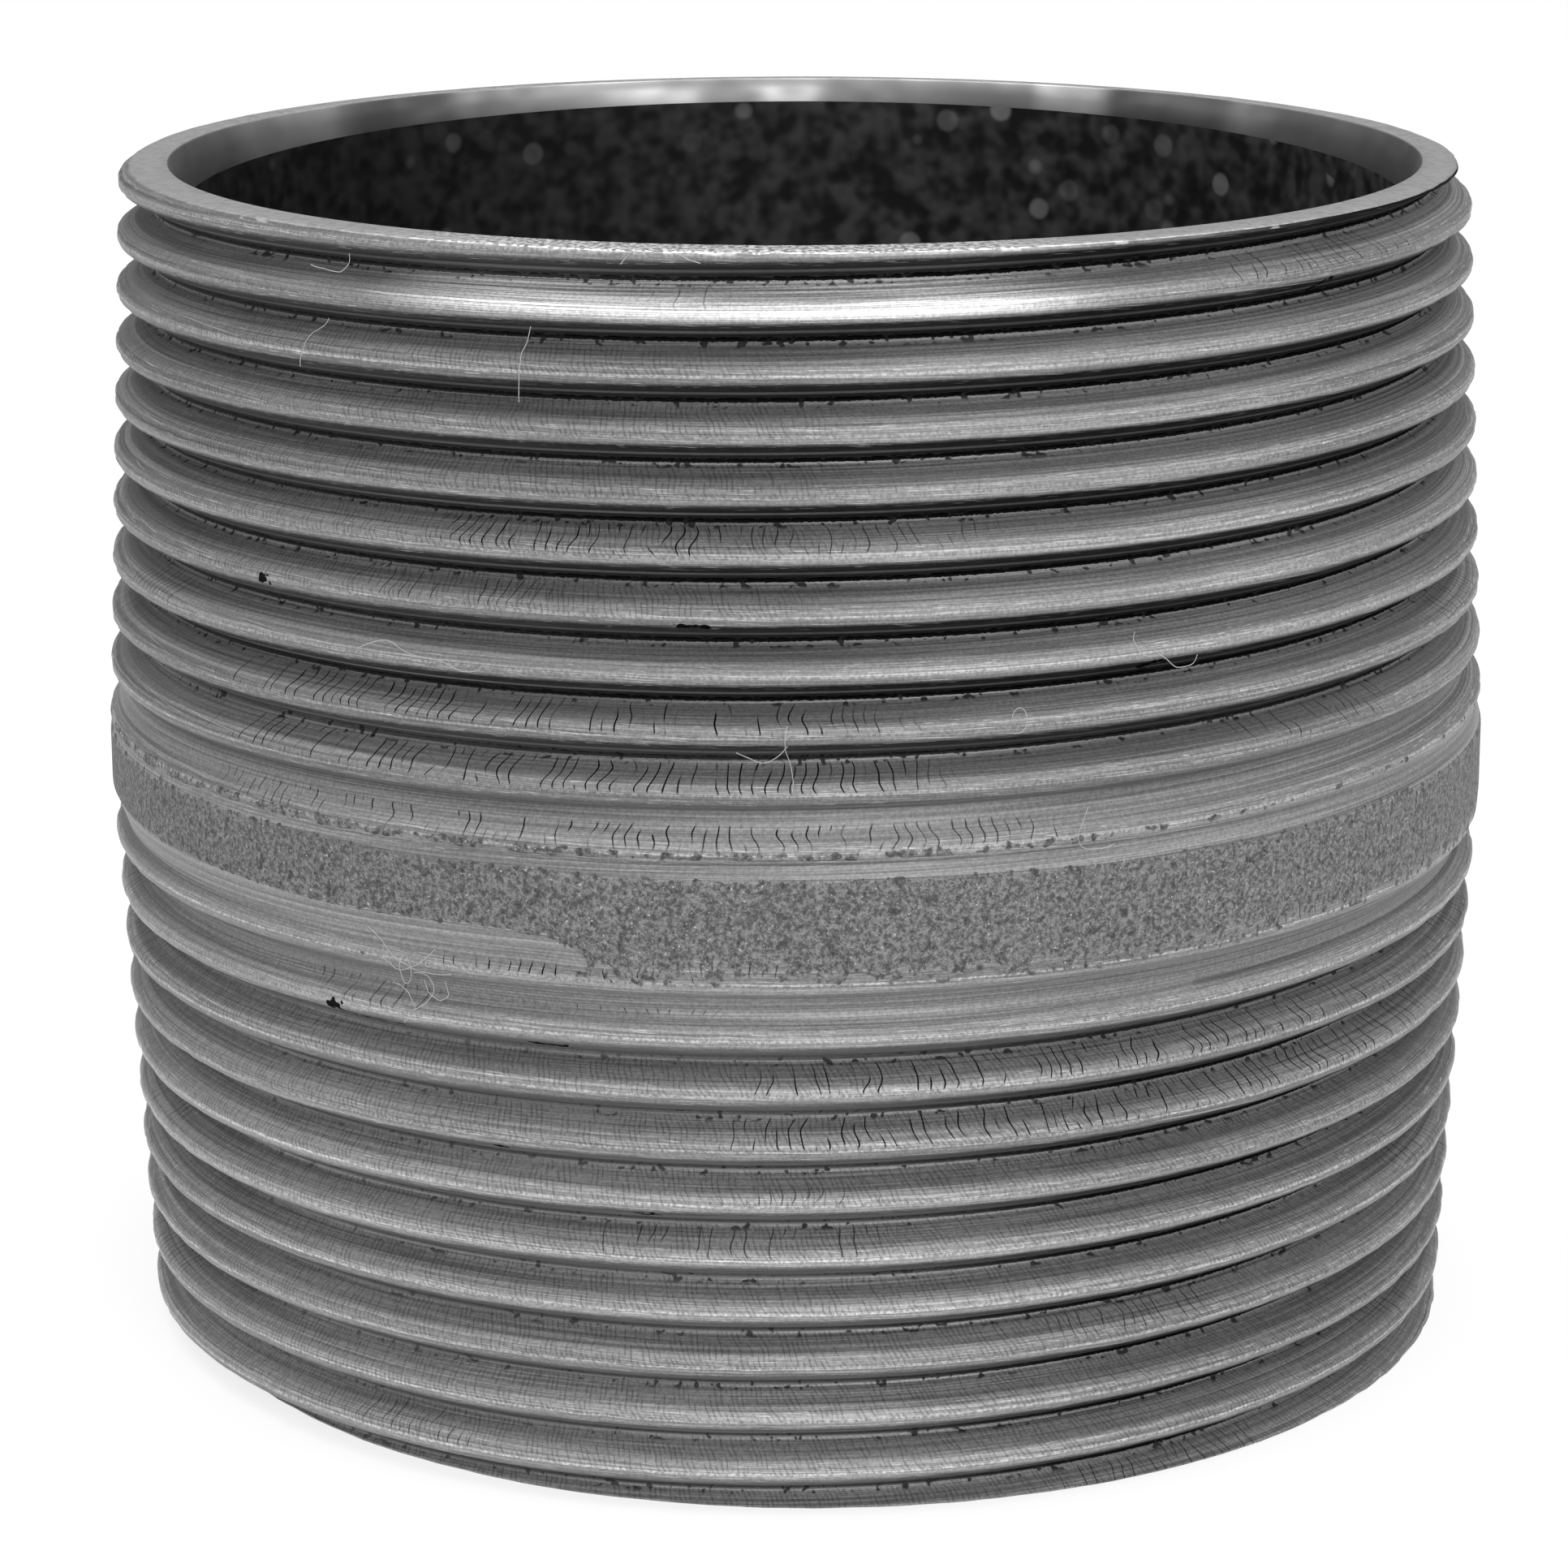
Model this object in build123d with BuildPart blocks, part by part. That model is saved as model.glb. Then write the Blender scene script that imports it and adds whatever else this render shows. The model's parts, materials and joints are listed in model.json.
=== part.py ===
"""Close taper nipple: a short piece of two-inch steel pipe with a taper thread cut from each end.

The pipe stands on its lower end. The origin is the centre of the lower end face, +Z runs up the bore
and -Y is the front. All lengths are in millimetres.
"""

import os
from math import atan, cos, degrees, radians, tan

from build123d import *

os.makedirs("parts", exist_ok=True)

# The pipe that the nipple is cut from
overall_length = 51.0
pipe_outer_diameter = 60.3
pipe_wall = 3.8

# The pipe thread: 55 degree form, tapering one in ten on the diameter of this piece
threads_per_inch = 11
thread_angle = 55.0
thread_taper = 1 / 10
thread_depth_per_pitch = 0.640327

# How much is turned off the pipe's radius at each end, where the thread's crests start
turned_off_at_end = 1.2

# How far the die ran on: full depth first, then turns in which the groove fades out
full_thread_length = 19.6
runout_turns = 1.3
runout_overshoot = 0.02

# Where the root of each groove meets its end face, in degrees from +X towards +Y
bottom_root_angle = 173.0
top_root_angle = 104.0

# The reamer's cone at the mouth of the bore, a little off centre at the upper end
reamed_width = 0.45
reamed_half_angle = 13.0
upper_reamer_offset = 0.2

# How far the groove's tool stands out past the crests, and how early it starts below the end face
groove_clearance = 0.3
early_turns = 0.6

pitch = 25.4 / threads_per_inch
thread_depth = thread_depth_per_pitch * pitch
outer_radius = pipe_outer_diameter / 2
bore_radius = outer_radius - pipe_wall
end_radius = outer_radius - turned_off_at_end
radial_slope = thread_taper / 2


def build_blank():
    """The pipe as it is after turning: a cone from each end up to the plain skin in the middle."""
    far_radius = end_radius + radial_slope * overall_length
    on_floor = (Align.CENTER, Align.CENTER, Align.MIN)
    with BuildPart() as blank:
        Cylinder(outer_radius, overall_length, align=on_floor)
        Cone(end_radius, far_radius, overall_length, align=on_floor, mode=Mode.INTERSECT)
        Cone(far_radius, end_radius, overall_length, align=on_floor, mode=Mode.INTERSECT)
        Cylinder(bore_radius, overall_length, align=on_floor, mode=Mode.SUBTRACT)
    return blank.part


def build_groove():
    """The space that the die cuts: a V wound up the lower cone, then lifted out over the run-out."""
    start_height = -early_turns * pitch
    full_height = full_thread_length - start_height
    runout_height = runout_turns * pitch
    start_radius = end_radius - thread_depth + radial_slope * start_height
    full_radius = start_radius + radial_slope * full_height
    exit_radius = outer_radius + runout_overshoot
    cone_angle = atan(radial_slope)
    runout_angle = atan((exit_radius - full_radius) / runout_height)
    groove_height = thread_depth + groove_clearance
    half_width = groove_height * tan(radians(thread_angle / 2))

    with BuildPart() as groove:
        with BuildLine() as path:
            Helix(
                pitch / cos(cone_angle),
                full_height,
                start_radius,
                center=(0, 0, start_height),
                cone_angle=degrees(cone_angle),
            )
            runout = Helix(
                pitch / cos(runout_angle),
                runout_height,
                full_radius,
                center=(0, 0, full_thread_length),
                cone_angle=degrees(runout_angle),
                mode=Mode.PRIVATE,
            )
            add(runout.rotate(Axis.Z, 360 * full_height / pitch))
        with BuildSketch(Plane(origin=(start_radius, 0, start_height), x_dir=(1, 0, 0), z_dir=(0, -1, 0))):
            with BuildLine():
                Polyline((0, 0), (groove_height, -half_width), (groove_height, half_width), close=True)
            make_face()
        sweep(path=path.wire(), is_frenet=True)
    return groove.part


def build_nipple():
    """The blank with both threads cut and both mouths of the bore reamed."""
    blank = build_blank()
    groove = build_groove()
    early_angle = 360 * early_turns
    reamed_slope = tan(radians(reamed_half_angle))
    reamed_length = reamed_width / reamed_slope
    mouth_radius = bore_radius + reamed_width
    upper_reamed_length = (reamed_width + upper_reamer_offset) / reamed_slope

    with BuildPart() as nipple:
        add(blank)
        with Locations(Location((0, 0, 0), (0, 0, bottom_root_angle - early_angle))):
            add(groove, mode=Mode.SUBTRACT)
        with Locations(Location((0, 0, overall_length), (180, 0, -top_root_angle - early_angle))):
            add(groove, mode=Mode.SUBTRACT)
        Cone(
            mouth_radius,
            bore_radius,
            reamed_length,
            align=(Align.CENTER, Align.CENTER, Align.MIN),
            mode=Mode.SUBTRACT,
        )
        with Locations((0, -upper_reamer_offset, overall_length)):
            Cone(
                bore_radius - upper_reamer_offset,
                mouth_radius,
                upper_reamed_length,
                align=(Align.CENTER, Align.CENTER, Align.MAX),
                mode=Mode.SUBTRACT,
            )
    return nipple


pipe_nipple = build_nipple()
pipe_nipple.part.label = "pipe_nipple"
export_step(pipe_nipple.part, "parts/pipe_nipple.step")
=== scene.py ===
# %% [markdown]
# # A close taper nipple, cut from black steel pipe
# The object is one short piece of pipe with a thread cut from each end, so close together that only a
# narrow band of the pipe's own rough skin is left between them. This lesson loads the engineering model
# as a fixed frame, builds one fine mesh over it, and gives each surface the finish that its making left.

import json
import math

import bpy
import numpy as np
from mathutils import Matrix, Vector

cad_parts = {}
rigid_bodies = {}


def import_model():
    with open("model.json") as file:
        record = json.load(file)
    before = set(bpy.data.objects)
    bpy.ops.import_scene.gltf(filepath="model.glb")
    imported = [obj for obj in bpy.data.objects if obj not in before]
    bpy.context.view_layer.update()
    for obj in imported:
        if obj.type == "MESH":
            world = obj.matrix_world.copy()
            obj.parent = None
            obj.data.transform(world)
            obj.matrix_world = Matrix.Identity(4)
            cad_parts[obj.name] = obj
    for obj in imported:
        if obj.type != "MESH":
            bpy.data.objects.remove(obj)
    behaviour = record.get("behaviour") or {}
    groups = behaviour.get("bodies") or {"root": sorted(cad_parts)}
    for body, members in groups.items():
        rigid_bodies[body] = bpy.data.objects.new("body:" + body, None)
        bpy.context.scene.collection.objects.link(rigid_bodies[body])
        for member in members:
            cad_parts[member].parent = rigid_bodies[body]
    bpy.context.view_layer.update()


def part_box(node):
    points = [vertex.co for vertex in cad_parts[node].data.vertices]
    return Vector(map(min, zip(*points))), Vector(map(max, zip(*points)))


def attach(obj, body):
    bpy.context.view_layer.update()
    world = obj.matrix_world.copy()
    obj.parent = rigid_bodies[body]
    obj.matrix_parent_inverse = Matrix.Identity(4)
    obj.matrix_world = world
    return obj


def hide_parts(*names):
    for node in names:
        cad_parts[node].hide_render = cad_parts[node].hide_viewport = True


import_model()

# %% [markdown]
# ## The camera
# The photograph was taken a little above the pipe, from so close that the near rim looks wider than the
# far one. A perspective camera reproduces that only from the same distance, so its place comes first, in
# metres, and everything else is judged through it.

# %% Place the camera
mm = 0.001
camera_distance = 213.36 * mm
camera_height = 79.19 * mm
camera_pitch = math.radians(14.816)
camera_turn = math.radians(0.14)
camera_roll = math.radians(-0.134)
camera_lens = 113.63

camera_data = bpy.data.cameras.new("photo_camera")
camera_data.lens = camera_lens
camera_data.sensor_width = 36
camera_data.clip_start = 10 * mm
camera_data.clip_end = 20
camera = bpy.data.objects.new("photo_camera", camera_data)
bpy.context.scene.collection.objects.link(camera)
camera.matrix_world = (
    Matrix.Translation((0, -camera_distance, camera_height))
    @ Matrix.Rotation(camera_turn, 4, "Z")
    @ Matrix.Rotation(math.pi / 2 - camera_pitch, 4, "X")
    @ Matrix.Rotation(camera_roll, 4, "Z")
)
bpy.context.scene.camera = camera
print("camera looks down by", round(math.degrees(camera_pitch), 2), "degrees")

# %% [markdown]
# ## The form of one thread
# A pipe thread of 55 degrees is a V whose crest and root are both rounded. On this piece the die was
# worn, so the crests came out broad and the roots stayed sharp. The depth is the standard one, and the
# two roundings share the height that the sharp V loses.

# %% Sizes of the thread
low_corner, high_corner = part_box("pipe_nipple")
overall_length = high_corner[2]
outer_radius = (high_corner[0] - low_corner[0]) / 2
pitch = 25.4 * mm / 11
half_angle = math.radians(27.5)
thread_depth = 0.640327 * pitch
crest_rounding = 0.46 * mm
sharp_height = pitch / 2 / math.tan(half_angle)
root_rounding = (sharp_height - thread_depth) / (1 / math.sin(half_angle) - 1) - crest_rounding
end_radius = 28.95 * mm
radial_slope = 0.05
bore_radius = 26.35 * mm
print("crest rounding", round(crest_rounding / mm, 3), "root rounding", round(root_rounding / mm, 3))

# %% [markdown]
# The profile is drawn as a modeller would draw it: one vertex at the root, extruded step by step up the
# flank, round the crest and down the other flank to the next root. A curve would also do, but the Screw
# modifier needs mesh edges, and here each point is wanted exactly once per pitch.

# %% Draw the profile of one pitch
crest_steps = 6
flank_steps = 2
root_steps = 2
bottom_root_turn = 173 / 360


def half_profile():
    """Height above the crest and drop below it, from the crest's middle to the root's middle."""
    points = []
    full_turn = math.pi / 2 - half_angle
    for step in range(crest_steps // 2 + 1):
        turn = full_turn * step / (crest_steps // 2)
        points.append((crest_rounding * math.sin(turn), crest_rounding * (1 - math.cos(turn))))
    crest_end = points[-1]
    root = []
    for step in range(root_steps + 1):
        turn = full_turn * (1 - step / root_steps)
        height = pitch / 2 - root_rounding * math.sin(turn)
        root.append((height, thread_depth - root_rounding * (1 - math.cos(turn))))
    for step in range(1, flank_steps):
        share = step / flank_steps
        points.append(tuple(a + (b - a) * share for a, b in zip(crest_end, root[0])))
    return points + root


upper_half = half_profile()
whole_profile = [(-height, drop) for height, drop in reversed(upper_half[1:])] + upper_half
profile_radius = outer_radius


def deselect_everything():
    for obj in bpy.context.view_layer.objects:
        obj.select_set(False)


def start_vertex(name, place):
    """A plane merged to its centre is the shortest way to a mesh of one vertex."""
    deselect_everything()
    bpy.ops.mesh.primitive_plane_add(size=1 * mm, location=place)
    obj = bpy.context.object
    obj.name = name
    bpy.ops.object.transform_apply(location=True, rotation=True, scale=True)
    bpy.ops.object.mode_set(mode="EDIT")
    bpy.ops.mesh.select_all(action="SELECT")
    bpy.ops.mesh.merge(type="CENTER")
    return obj


first_crest = (0.5 - bottom_root_turn - 1) * pitch
first_height, first_drop = whole_profile[0]
nipple = start_vertex("nipple_skin", (profile_radius - first_drop, 0, first_crest + first_height))
for (height, drop), (next_height, next_drop) in zip(whole_profile, whole_profile[1:]):
    step = (drop - next_drop, 0, next_height - height)
    bpy.ops.mesh.extrude_region_move(TRANSFORM_OT_translate={"value": step})
bpy.ops.object.mode_set(mode="OBJECT")
print("profile has", len(nipple.data.vertices), "points")

# %% [markdown]
# ## Winding the thread
# The Screw modifier turns the profile round the axis and lifts it by one pitch a turn, which is what the
# die does. Neighbouring turns share their root line, so the doubled vertices there are merged.

# %% Wind it up the pipe
steps_per_turn = 256
thread_turns = 24

screw = nipple.modifiers.new("Wind", "SCREW")
screw.axis = "Z"
screw.angle = 2 * math.pi
screw.screw_offset = pitch
screw.iterations = thread_turns
screw.steps = steps_per_turn
screw.render_steps = steps_per_turn
screw.use_smooth_shade = True
bpy.ops.object.modifier_apply(modifier=screw.name)
bpy.ops.object.mode_set(mode="EDIT")
bpy.ops.mesh.select_all(action="SELECT")
bpy.ops.mesh.remove_doubles(threshold=0.004 * mm)
bpy.ops.object.mode_set(mode="OBJECT")
print("wound thread has", len(nipple.data.polygons), "faces")

# %% [markdown]
# ## From a plain screw to a taper thread with its run-out
# No modifier tapers a thread and lets it fade out, so this is done point by point with the die's own
# rule. The die cuts full depth for 19.6 mm. Its lead-in teeth are cut off by a cone, so after that the
# grooves keep their width but get a flatter and flatter floor, and strips of the pipe's skin are left
# on the crests. The lower groove ends in a step where the die stopped. No metal is left outside the
# turned cone or outside the pipe. The thread from the other end is out of step with this one by part of
# a pitch, and the difference is spread over the plain band, where it doesn't show.

# %% Read and write the points of a mesh
def read_points(obj):
    flat = np.empty(len(obj.data.vertices) * 3)
    obj.data.vertices.foreach_get("co", flat)
    return flat.reshape(-1, 3)


def write_points(obj, points):
    obj.data.vertices.foreach_set("co", np.ascontiguousarray(points, dtype=float).ravel())
    obj.data.update()


def smooth_step(value, start, end):
    share = np.clip((value - start) / (end - start), 0, 1)
    return share * share * (3 - 2 * share)


# %% [markdown]
# Machined steel is never quite even. A sum of a few sine waves round the pipe, each with its own seeded
# phase, gives a wobble that closes on itself, so it leaves no seam at the back.

# %% A seeded wobble round the pipe
def wobble(angle, height, seed, waves_round, waves_up, count=10):
    """Smooth values of about -1 to 1 on the pipe's surface, without a seam."""
    source = np.random.default_rng(seed)
    total = np.zeros_like(angle)
    for _ in range(count):
        around = int(source.integers(waves_round[0], waves_round[1] + 1))
        upward = source.uniform(waves_up[0], waves_up[1]) * source.choice((-1, 1))
        total += np.sin(around * angle + upward * height / mm + source.uniform(0, 2 * math.pi))
    return total / math.sqrt(count / 2) / 1.6


# %% [markdown]
# Each point's drop below the crest tells the die's rule how deep the groove is there. The crests are a
# little worn, and nothing may stand out past the turned cone, so the radius is cut back to it at last.

# %% Cut the thread with the die's rule
full_thread = 19.6 * mm
lead_in_cone = 4.8 * mm
lower_stop = 23.6 * mm
upper_stop = 25.4 * mm
phase_difference = 0.2785 * pitch
band_start = 24.0 * mm
band_end = 27.0 * mm

points = read_points(nipple)
angle = np.arctan2(points[:, 1], points[:, 0])
drop = profile_radius - np.hypot(points[:, 0], points[:, 1])
turn_phase = (points[:, 2] - first_crest) / pitch - np.mod(angle / (2 * math.pi), 1)
height = points[:, 2] + phase_difference * smooth_step(points[:, 2], band_start, band_end)
root_distance = (turn_phase - np.floor(turn_phase) - 0.5) * pitch
from_top = overall_length - height


def floor_drop(distance):
    """How deep the die's teeth reach at a distance from their end of the pipe."""
    return thread_depth * np.clip((full_thread + lead_in_cone - distance) / lead_in_cone, 0, 1)


def still_cut(root_place, stop):
    """One where the groove is cut, zero past the step where the die stopped."""
    return 1 - smooth_step(root_place, stop - 0.02 * mm, stop + 0.02 * mm)


lower_cone = end_radius + radial_slope * height
upper_cone = end_radius + radial_slope * from_top
lower_drop = np.minimum(drop, floor_drop(height)) * still_cut(height - root_distance, lower_stop)
upper_drop = np.minimum(drop, floor_drop(from_top)) * still_cut(from_top + root_distance, upper_stop)
below_middle = height < (band_start + band_end) / 2
cut = np.where(below_middle, lower_cone - lower_drop, upper_cone - upper_drop)
crest_line = np.minimum(np.minimum(lower_cone, upper_cone), outer_radius)

uneven = 0.018 * mm * wobble(angle, height, 3, (2, 22), (0.1, 1.2))
worn = 0.05 * mm * np.clip(wobble(angle, height, 5, (20, 90), (0.5, 4.0)), 0, 1.5)
near_crest = 1 - smooth_step(drop, 0.05 * mm, 0.5 * mm)
radius = np.minimum(cut + uneven, crest_line) - worn * near_crest * (crest_line < outer_radius)
radius = np.minimum(radius, crest_line)
skin_depth = outer_radius - radius
print("deepest point lies", round(float(skin_depth.max() / mm), 2), "mm below the skin")

wound = np.column_stack((radius * np.cos(angle), radius * np.sin(angle), height))
write_points(nipple, wound)

# %% [markdown]
# The shader needs to know where it is on the thread. An angle would jump at every root, but its sine and
# cosine don't, so those two are kept on each point, with the depth below the pipe's skin as the third
# number: sine is positive on the upper flank, cosine is positive on the crest.

# %% Keep the place on the thread as an attribute
thread_place = nipple.data.attributes.new("thread_place", "FLOAT_VECTOR", "POINT")
place_values = np.column_stack(
    (np.sin(2 * math.pi * turn_phase), np.cos(2 * math.pi * turn_phase), skin_depth / mm)
)
thread_place.data.foreach_set("vector", place_values.ravel())

# %% [markdown]
# ## Facing the two ends
# The saw cut both ends square. Bisect does the same: it cuts the wound surface with a plane and clears
# what lies outside. The cut is made a hair short of the end, and that last bit becomes the dulled edge.

# %% Cut both ends off square
edge_dulling = 0.14 * mm

deselect_everything()
nipple.select_set(True)
bpy.context.view_layer.objects.active = nipple
bpy.ops.object.mode_set(mode="EDIT")
bpy.ops.mesh.select_all(action="SELECT")
bpy.ops.mesh.bisect(
    plane_co=(0, 0, edge_dulling), plane_no=(0, 0, 1), clear_inner=True, threshold=0.0005 * mm
)
bpy.ops.mesh.select_all(action="SELECT")
bpy.ops.mesh.bisect(
    plane_co=(0, 0, overall_length - edge_dulling),
    plane_no=(0, 0, 1),
    clear_outer=True,
    threshold=0.0005 * mm,
)
bpy.ops.mesh.select_all(action="SELECT")
bpy.ops.mesh.remove_doubles(threshold=0.002 * mm)
bpy.ops.object.mode_set(mode="OBJECT")
print("after facing the mesh has", len(nipple.data.polygons), "faces")

# %% [markdown]
# ## The rims, the reamed mouths and the bore
# The open loop at each end is extruded again and again: over the dulled edge, across the flat ring, over
# the mouth's edge, down the reamer's cone and along the bore. After each extrusion the new loop is put
# on its own circle. The upper reamer ran a little off centre, so its cone reaches deeper at the front.

# %% Grow the ends inwards
mouth_radius = 26.8 * mm
mouth_rounding = 0.06 * mm
reamer_slope = math.tan(math.radians(13))
upper_reamer_offset = 0.2 * mm
bore_rings = 9
burr_place = -96
burr_width = 13


def select_open_edges(obj, lowest, highest):
    """Selects the open boundary between two heights, and leaves the mesh in edit mode."""
    bpy.ops.object.mode_set(mode="EDIT")
    bpy.ops.mesh.select_mode(type="EDGE")
    bpy.ops.mesh.select_all(action="DESELECT")
    bpy.ops.mesh.select_non_manifold(
        extend=False, use_wire=False, use_multi_face=False, use_non_contiguous=False, use_verts=False
    )
    bpy.ops.object.mode_set(mode="OBJECT")
    heights = read_points(obj)[:, 2]
    outside = (heights < lowest) | (heights > highest)
    ends = np.empty(len(obj.data.edges) * 2, dtype=int)
    obj.data.edges.foreach_get("vertices", ends)
    chosen_edges = np.empty(len(obj.data.edges), dtype=bool)
    obj.data.edges.foreach_get("select", chosen_edges)
    chosen_edges &= ~outside[ends.reshape(-1, 2)].any(axis=1)
    chosen_points = np.zeros(len(heights), dtype=bool)
    chosen_points[ends.reshape(-1, 2)[chosen_edges].ravel()] = True
    obj.data.edges.foreach_set("select", chosen_edges)
    obj.data.vertices.foreach_set("select", chosen_points)
    bpy.ops.object.mode_set(mode="EDIT")
    return int(chosen_edges.sum())


def extrude_loop(obj, place):
    """Extrudes the selected loop and puts each new point where place(angle, radius, height) says."""
    bpy.ops.mesh.extrude_region_move(TRANSFORM_OT_translate={"value": (0, 0, 0)})
    bpy.ops.object.mode_set(mode="OBJECT")
    chosen = np.empty(len(obj.data.vertices), dtype=bool)
    obj.data.vertices.foreach_get("select", chosen)
    for index in np.flatnonzero(chosen):
        vertex = obj.data.vertices[int(index)]
        x, y, z = vertex.co
        angle = math.atan2(y, x)
        new_radius, new_height = place(angle, math.hypot(x, y), z)
        vertex.co = (new_radius * math.cos(angle), new_radius * math.sin(angle), new_height)
    bpy.ops.object.mode_set(mode="EDIT")


def ragged(angle, seed, low, high, count=24):
    """A value of about -1 to 1 that changes quickly round the rim and closes on itself."""
    source = np.random.default_rng(seed)
    total = 0.0
    for _ in range(count):
        total += math.sin(int(source.integers(low, high)) * angle + source.uniform(0, 2 * math.pi))
    return total / math.sqrt(count / 2)


def grow_end(obj, end_height, inward, offset):
    """Ring, mouth and half of the bore, from the end at end_height; inward is +1 or -1 along Z."""
    cut_height = end_height + inward * edge_dulling
    edges = select_open_edges(obj, cut_height - edge_dulling / 2, cut_height + edge_dulling / 2)
    print("the open end at", round(end_height / mm, 1), "mm has", edges, "edges")

    def dulled(angle, radius, height):
        step = edge_dulling * (1 + 0.25 * ragged(angle, 11, 12, 90))
        from_burr = (math.degrees(angle) - burr_place) / burr_width
        at_front = math.exp(-(from_burr**2)) if offset else 0.0
        burr = at_front * ragged(angle, 21, 60, 120)
        lowering = 0.3 * edge_dulling * (1 + 0.45 * max(-2.0, min(2.0, burr)))
        return radius - 0.35 * step + 0.05 * mm * burr, end_height + inward * lowering

    def ring_outside(angle, radius, height):
        return radius - 0.11 * mm, end_height

    def mouth_edge(angle):
        return mouth_radius - offset * math.sin(angle)

    def ring_middle(angle, radius, height):
        return (radius + mouth_edge(angle)) / 2, end_height

    def ring_inside(angle, radius, height):
        return mouth_edge(angle) + mouth_rounding, end_height

    def mouth(angle, radius, height):
        return mouth_edge(angle), end_height + inward * mouth_rounding

    def cone_bottom(angle, radius, height):
        cone_depth = (mouth_edge(angle) - bore_radius) / reamer_slope
        return bore_radius, end_height + inward * max(cone_depth, 4 * mouth_rounding)

    def cone_middle(angle, radius, height):
        lower_radius, lower_height = cone_bottom(angle, radius, height)
        upper_radius, upper_height = mouth(angle, radius, height)
        return (lower_radius + upper_radius) / 2, (lower_height + upper_height) / 2

    for place in (dulled, ring_outside, ring_middle, ring_inside, mouth, cone_middle, cone_bottom):
        extrude_loop(obj, place)

    first_ring = 3.2 * mm
    last_ring = overall_length / 2 - 1.2 * mm
    for ring in range(bore_rings):
        depth = first_ring + (last_ring - first_ring) * ring / (bore_rings - 1)

        def bore(angle, radius, height, depth=depth):
            rough = 0.02 * mm * ragged(angle, 40 + ring, 3, 40)
            return bore_radius + rough, end_height + inward * depth

        extrude_loop(obj, bore)
    bpy.ops.object.mode_set(mode="OBJECT")


grow_end(nipple, 0.0, 1, 0.0)
grow_end(nipple, overall_length, -1, upper_reamer_offset)

# %% [markdown]
# Both halves of the bore now end in an open loop with the same number of points. One bridge closes them,
# and a count of the edges proves that the surface has no hole left.

# %% Join the two halves of the bore
bore_edges = select_open_edges(nipple, 0, overall_length)
print("open edges in the middle of the bore:", bore_edges)
bpy.ops.mesh.bridge_edge_loops()
bpy.ops.mesh.select_mode(type="VERT")
bpy.ops.mesh.select_all(action="SELECT")
bpy.ops.mesh.normals_make_consistent(inside=False)
bpy.ops.object.mode_set(mode="OBJECT")
nipple.data.update()
loop_edges = np.fromiter((loop.edge_index for loop in nipple.data.loops), int)
open_edges = int((np.bincount(loop_edges) != 2).sum())
triangles = sum(len(face.vertices) - 2 for face in nipple.data.polygons)
print("edges without two faces:", open_edges, "triangles:", triangles)

# %% [markdown]
# ## Lint caught on the thread
# Pale fibres hang on the rough edges in the photograph. Each one is a thin curve that wanders over the
# crests from a given place, with its own seed, and is turned into mesh and joined to the pipe.

# %% Lay the fibres
fibre_radius = 0.016 * mm
fibre_gap = 0.05 * mm


def fibre_points(turn, height, length, heading, curl, seed, count=9):
    """Points a little outside the crests, from (degrees from the front, mm) in a wandering line."""
    source = np.random.default_rng(seed)
    along, up, way = math.radians(turn) * outer_radius, height * mm, math.radians(heading)
    points = []
    for step in range(count):
        cone = end_radius + radial_slope * min(up, overall_length - up)
        lift = fibre_gap + 0.2 * mm * abs(math.sin(1.3 * step + seed))
        side = along / outer_radius
        furthest = (outer_radius - 2 * fibre_radius) / max(abs(math.cos(side)), abs(math.sin(side)))
        reach = min(min(cone, outer_radius) + lift, furthest)
        points.append((reach * math.sin(side), -reach * math.cos(side), min(up, overall_length - fibre_gap)))
        way += curl * source.uniform(0.2, 1.0) + source.normal(0, 0.35)
        along += length * mm / count * math.cos(way)
        up += length * mm / count * math.sin(way)
    return points


fibres = [
    (-34, 23.6, 5.0, -50, 0.1, 1), (-33, 22.4, 3.5, -20, 0.5, 2), (-31, 22.6, 3.0, -80, 0.9, 3),
    (-30, 22.0, 3.2, 60, -0.8, 4), (-29, 21.8, 2.6, -120, 1.0, 5), (-32, 21.4, 2.8, 10, -1.1, 6),
    (-20, 48.0, 3.4, -115, 0.2, 7), (-38, 47.6, 3.2, -100, -0.2, 8), (16, 32.4, 2.6, -60, 0.8, 9),
    (-0.6, 33.0, 3.0, -95, 0.1, 10), (-0.6, 32.2, 2.6, -150, -0.1, 11), (27.6, 35.2, 3.0, -80, 0.4, 12),
    (28.6, 35.0, 2.4, -60, -0.6, 13), (-24, 34.6, 7.0, -135, 0.0, 14), (-13, 50.5, 2.2, 10, 0.6, 15),
    (-7, 50.6, 2.4, 170, -0.6, 16), (-36, 50.2, 3.0, -70, -0.5, 17), (22, 29.2, 3.6, -85, 0.1, 18),
]
deselect_everything()
for number, fibre in enumerate(fibres):
    thread = bpy.data.curves.new("lint", "CURVE")
    thread.dimensions = "3D"
    thread.bevel_depth = fibre_radius
    thread.bevel_resolution = 0
    thread.use_fill_caps = True
    spline = thread.splines.new("NURBS")
    path = fibre_points(*fibre)
    spline.points.add(len(path) - 1)
    for control, place in zip(spline.points, path):
        control.co = (*place, 1.0)
    spline.order_u = 4
    spline.use_endpoint_u = True
    spline.resolution_u = 3
    lint = bpy.data.objects.new("lint", thread)
    bpy.context.scene.collection.objects.link(lint)
    lint.select_set(True)
    bpy.context.view_layer.objects.active = lint
bpy.ops.object.convert(target="MESH")
pipe_faces = len(nipple.data.polygons)
nipple.select_set(True)
bpy.context.view_layer.objects.active = nipple
bpy.ops.object.join()
print("fibres:", len(fibres), "faces in them:", len(nipple.data.polygons) - pipe_faces)

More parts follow.
